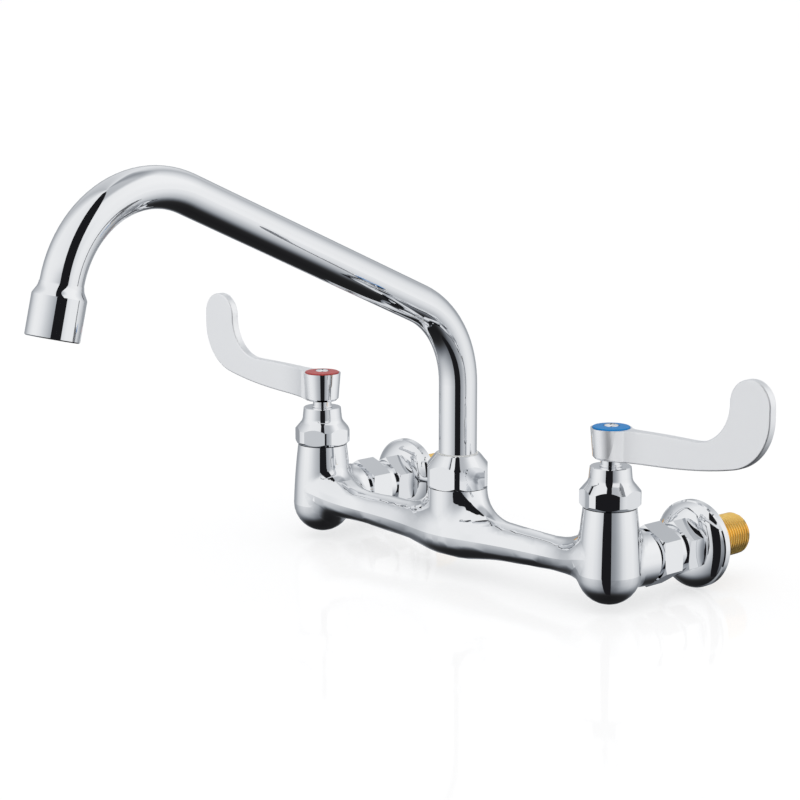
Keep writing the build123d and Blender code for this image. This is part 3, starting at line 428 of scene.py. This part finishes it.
def piece(name, mesh_builder, body, slot_name, *replaced):
    """A new object from a bmesh builder, riding on a body and wearing a material slot's finish."""
    shape = bmesh.new()
    mesh_builder(shape)
    bmesh.ops.recalc_face_normals(shape, faces=shape.faces)
    mesh = bpy.data.meshes.new(name)
    shape.to_mesh(mesh)
    shape.free()
    smooth_shaded(mesh, SHARP_ANGLE)
    made = bpy.data.objects.new(name, mesh)
    bpy.context.scene.collection.objects.link(made)
    made.data.materials.append(MATERIALS[slot_name])
    if replaced:
        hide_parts(*replaced)
    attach(made, body)
    return made


def loft(shape, rings, closed=True):
    """Skins a list of rings of points, each ring going round; closed joins the last ring to the first."""
    rows = [[shape.verts.new(point) for point in ring] for ring in rings]
    pairs = list(zip(rows, rows[1:]))
    if closed:
        pairs.append((rows[-1], rows[0]))
    for low, high in pairs:
        count = len(low)
        for index in range(count):
            after = (index + 1) % count
            shape.faces.new((low[index], low[after], high[after], high[index]))
    return rows


# ---------------------------------------------------------------- threaded nipples
def nipple_radius(y, angle):
    """Radius of the nipple at depth y and angle round it: a plain shank, then a rounded helical thread."""
    if y <= SHANK_END:
        return SHANK_RADIUS
    if y <= THREAD_START:
        return NIPPLE_RADIUS - PLAIN_RELIEF
    phase = (y / PITCH - angle / (2 * math.pi)) % 1.0
    flank = 1.0 - abs(2.0 * phase - 1.0)
    crest = min(1.0, max(0.0, (flank - THREAD_ROOT_SHARE) / THREAD_FLANK_SHARE))
    crest = crest * crest * (3 - 2 * crest)
    run_in = min(1.0, (y - THREAD_START) / (RUN_IN_TURNS * PITCH))
    radius = NIPPLE_RADIUS - (1.0 - crest) * THREAD_DEPTH * run_in
    chamfered = NIPPLE_RADIUS - max(0.0, y - (NIPPLE_END - NIPPLE_CHAMFER))
    return min(radius, chamfered)


def nipple_ring(side, y, radius_at):
    """Ring round an inlet axis at depth y; radius_at gives the radius at an angle."""
    ring = []
    for index in range(NIPPLE_AROUND):
        angle = 2 * math.pi * index / NIPPLE_AROUND
        radius = radius_at(angle)
        ring.append((side * VALVE_X + radius * math.cos(angle), y, radius * math.sin(angle)))
    return ring


def threaded_nipple(side):
    def build(shape):
        levels = [NIPPLE_START, SHANK_END - STEP_HALF, SHANK_END + STEP_HALF, THREAD_START / 2, THREAD_START]
        length = NIPPLE_END - THREAD_START
        steps = int(length / PITCH * ROWS_PER_TURN)
        levels += [THREAD_START + length * step / steps for step in range(1, steps + 1)]
        rings = [nipple_ring(side, y, lambda angle: nipple_radius(y, angle)) for y in levels]
        rings += [nipple_ring(side, y, lambda angle: NIPPLE_BORE) for y in (NIPPLE_END, NIPPLE_START)]
        loft(shape, rings)

    return build


for word, side in SIDES.items():
    thread = threaded_nipple(side)
    piece(word + "_threaded_nipple", thread, "faucet_body", "raw_brass", word + "_inlet_nipple")


# ---------------------------------------------------------------- handle screws
def screw_outline():
    """Half outline of the screw from its tip up to the crown, as (radius, z)."""
    rim = HEAD_LOW + HEAD_RIM
    points = [
        (SCREW_RADIUS - SHANK_CHAMFER, SHANK_LOW),
        (SCREW_RADIUS, SHANK_LOW + SHANK_CHAMFER),
        (SCREW_RADIUS, HEAD_LOW),
        (HEAD_RADIUS - HEAD_EDGE, HEAD_LOW),
        (HEAD_RADIUS, HEAD_LOW + HEAD_EDGE),
        (HEAD_RADIUS, rim),
    ]
    for step in range(1, CROWN_STEPS):
        angle = math.pi / 2 * step / CROWN_STEPS
        points.append((HEAD_RADIUS * math.cos(angle), rim + (HEAD_RISE - HEAD_RIM) * math.sin(angle)))
    return points


def handle_screw(side):
    def build(shape):
        rings = []
        for radius, z in screw_outline():
            ring = []
            for index in range(SCREW_AROUND):
                angle = 2 * math.pi * index / SCREW_AROUND
                ring.append((side * VALVE_X + radius * math.cos(angle), AXIS_Y + radius * math.sin(angle), z))
            rings.append(ring)
        rows = loft(shape, rings, closed=False)
        shape.faces.new(rows[0])
        crown = shape.verts.new((side * VALVE_X, AXIS_Y, HEAD_LOW + HEAD_RISE))
        top = rows[-1]
        for index in range(len(top)):
            shape.faces.new((top[index], top[(index + 1) % len(top)], crown))

    return build


def cross_outline(turn):
    """Corners of the cross as (direction along an arm, direction across it, reach, offset)."""
    outline = []
    half_width = RECESS_WIDTH / 2
    for quarter in range(4):
        base = turn + quarter * math.pi / 2
        along = Vector((math.cos(base), math.sin(base), 0))
        across = Vector((-math.sin(base), math.cos(base), 0))
        outline.append((along, across, RECESS_HALF, -half_width))
        outline.append((along, across, RECESS_HALF, half_width))
        outline.append((along, across, half_width, half_width))
    return outline


def cross_cutter(side, turn):
    """A tapered cross in the screw's crown, as one closed mesh."""
    mesh = bpy.data.meshes.new("recess")
    shape = bmesh.new()
    crown = HEAD_LOW + HEAD_RISE
    centre = Vector((side * VALVE_X, AXIS_Y, 0))
    rings = []
    for height, share in ((crown + RECESS_OVER, RECESS_TOP_SHARE), (crown - RECESS_DEPTH, RECESS_FOOT_SHARE)):
        width_share = 1 - RECESS_TAPER + RECESS_TAPER * share
        ring = []
        for along, across, reach, offset in cross_outline(turn):
            point = centre + along * reach * share + across * offset * width_share
            ring.append((point.x, point.y, height))
        rings.append(ring)
    rows = loft(shape, rings, closed=False)
    shape.faces.new(rows[0])
    shape.faces.new(rows[1])
    bmesh.ops.recalc_face_normals(shape, faces=shape.faces)
    shape.to_mesh(mesh)
    shape.free()
    cutter = bpy.data.objects.new("recess", mesh)
    bpy.context.scene.collection.objects.link(cutter)
    return cutter


def cut(target, cutter):
    """Cuts the cutter out of the target, applies the cut and deletes the cutter."""
    modifier = target.modifiers.new("cut", "BOOLEAN")
    modifier.operation = "DIFFERENCE"
    modifier.solver = "EXACT"
    modifier.object = cutter
    bpy.context.view_layer.update()
    graph = bpy.context.evaluated_depsgraph_get()
    mesh = bpy.data.meshes.new_from_object(target.evaluated_get(graph))
    target.modifiers.clear()
    target.data = mesh
    bpy.data.objects.remove(cutter)
    smooth_shaded(mesh, CUT_SHARP_ANGLE)


for word, side in SIDES.items():
    screw = piece(word + "_cross_screw", handle_screw(side), BODY_OF[word], "steel", word + "_handle_screw")
    cut(screw, cross_cutter(side, math.radians(RECESS_TURN[word])))


# ---------------------------------------------------------------- stage, light and camera
def floor():
    """Plain pale floor, white to the camera, that keeps the shadow and a faint reflection."""
    mesh = bpy.data.meshes.new("floor")
    corners = [(x * FLOOR_HALF, y * FLOOR_HALF, FLOOR_Z) for x, y in ((-1, -1), (1, -1), (1, 1), (-1, 1))]
    mesh.from_pydata(corners, [], [(0, 1, 2, 3)])
    stage = bpy.data.objects.new("floor", mesh)
    bpy.context.scene.collection.objects.link(stage)
    material, tree, output, place = new_material("floor")
    tone = mixed(tree, noise(tree, place, FLOOR_CLOUD_SCALE), (*FLOOR_DARK, 1.0), (*FLOOR_LIGHT, 1.0))
    dull = {"Base Color": tone, "Roughness": FLOOR_ROUGHNESS, "Specular IOR Level": 0.0}
    base = add(tree, "BsdfPrincipled", dull)
    seen = add(tree, "LightPath").outputs["Is Camera Ray"]
    glow = add(tree, "Emission", {"Strength": maths(tree, "MULTIPLY", seen, FLOOR_GLOW)})
    lit = add(tree, "AddShader", {0: base.outputs[0], 1: glow.outputs[0]})
    mirror = add(tree, "BsdfAnisotropic", {"Roughness": FLOOR_MIRROR_ROUGHNESS})
    share = maths(tree, "MULTIPLY", seen, FLOOR_MIRROR)
    both = add(tree, "MixShader", {0: share, 1: lit.outputs[0], 2: mirror.outputs[0]})
    tree.links.new(both.outputs[0], output.inputs[0])
    mesh.materials.append(material)
    stage.visible_glossy = False


def round_place(degrees):
    """Ramp position of an angle round from the camera."""
    return (degrees + 180.0) / 360.0


def up_place(degrees):
    """Ramp position of an elevation."""
    return (degrees + 90.0) / 180.0


def studio():
    """Two tall soft boxes either side of a dark gap behind the camera, a bright ceiling and a dark pit below.

    Only reflections show it. Everything else gets an even light, and the camera sees plain white.
    """
    world = bpy.data.worlds.new("studio")
    bpy.context.scene.world = world
    tree, output = new_tree(world)
    direction = add(tree, "TexCoord").outputs["Generated"]
    turn = (0.0, 0.0, math.pi / 2 - CAMERA_AZIMUTH)
    turned = add(tree, "Mapping", {"Vector": direction, "Rotation": turn}).outputs[0]
    nearer, rightward, up = add(tree, "SeparateXYZ", {0: turned}).outputs
    around = scaled(tree, maths(tree, "ARCTAN2", rightward, nearer), 1 / (2 * math.pi), 0.5)
    upward = scaled(tree, maths(tree, "ARCSINE", up), 1 / math.pi, 0.5)

    low_walls = ramp(tree, around, [(round_place(degrees), grey) for degrees, grey in LOW_WALLS])
    high_walls = ramp(tree, around, [(round_place(degrees), grey) for degrees, grey in HIGH_WALLS])
    lift = smooth(tree, upward, up_place(LIFT_START), up_place(LIFT_FULL))
    walls = mixed(tree, lift, low_walls, high_walls)
    levels = ramp(tree, upward, [(up_place(degrees), grey) for degrees, grey in LEVELS])
    slanted = scaled(tree, nearer, PIT_SLANT, up)
    above_pit = smooth(tree, slanted, -PIT_DEPTH, PIT_EDGE - PIT_DEPTH, PIT_TONE)
    lit_walls = mixed(tree, 1.0, mixed(tree, 1.0, walls, levels, "MULTIPLY"), above_pit, "MULTIPLY")

    overhead = smooth(tree, upward, up_place(CEILING_START), up_place(CEILING_FULL))
    right_hand = smooth(tree, rightward, CEILING_EDGE, CEILING_INSIDE)
    shade = maths(tree, "MULTIPLY", maths(tree, "MULTIPLY", overhead, right_hand), CEILING_SHADE)
    shown = ramp(tree, mixed(tree, shade, lit_walls, (*CEILING_TONE, 1.0)), SHOWN)

    path = add(tree, "LightPath").outputs
    plain = mixed(tree, path["Is Camera Ray"], (*PLAIN_LIGHT, 1.0), (*BACKGROUND, 1.0))
    background = add(tree, "Background", {0: mixed(tree, path["Is Glossy Ray"], plain, shown), 1: 1.0})
    tree.links.new(background.outputs[0], output.inputs[0])


def flag():
    """Tall dark card beside the camera: the narrow dark stripe that every upright chrome surface shows."""
    mesh = bpy.data.meshes.new("flag")
    toward = Vector((math.sin(FLAG_AZIMUTH), -math.cos(FLAG_AZIMUTH), 0.0))
    across = Vector((math.cos(FLAG_AZIMUTH), math.sin(FLAG_AZIMUTH), 0.0))
    centre = Vector((0.0, AXIS_Y, 0.0)) + toward * FLAG_DISTANCE
    corners = []
    for offset, height in ((-1, -FLAG_DROP), (1, -FLAG_DROP), (1, FLAG_RISE), (-1, FLAG_RISE)):
        corners.append(centre + across * offset * FLAG_HALF_WIDTH + Vector((0.0, 0.0, height)))
    mesh.from_pydata(corners, [], [(0, 1, 2, 3)])
    stage = bpy.data.objects.new("flag", mesh)
    bpy.context.scene.collection.objects.link(stage)
    material = bpy.data.materials.new("flag")
    tree, output = new_tree(material)
    glow = add(tree, "Emission", {"Color": (*FLAG_COLOUR, 1.0)})
    tree.links.new(glow.outputs[0], output.inputs[0])
    mesh.materials.append(material)
    for ray in ("visible_camera", "visible_diffuse", "visible_shadow", "visible_transmission"):
        setattr(stage, ray, False)


def sun(name, strength, width, elevation, azimuth):
    lamp = bpy.data.lights.new(name, "SUN")
    lamp.energy = strength
    lamp.angle = math.radians(width)
    made = bpy.data.objects.new(name, lamp)
    made.rotation_euler = (math.radians(90 - elevation), 0.0, math.radians(azimuth))
    made.visible_glossy = False
    bpy.context.scene.collection.objects.link(made)


def camera():
    lens = bpy.data.cameras.new("camera")
    lens.sensor_width = SENSOR
    lens.sensor_fit = "HORIZONTAL"
    lens.lens = FOCAL_PIXELS * SENSOR / FRAME_PIXELS
    lens.clip_start = CLIP_START
    lens.clip_end = CLIP_END
    made = bpy.data.objects.new("camera", lens)
    made.location = CAMERA_PLACE
    made.rotation_euler = (math.pi / 2 - CAMERA_ELEVATION, 0.0, CAMERA_AZIMUTH)
    bpy.context.scene.collection.objects.link(made)
    bpy.context.scene.camera = made


floor()
studio()
flag()
for values in SUNS:
    sun(*values)
camera()
bpy.context.scene.view_settings.view_transform = "Standard"
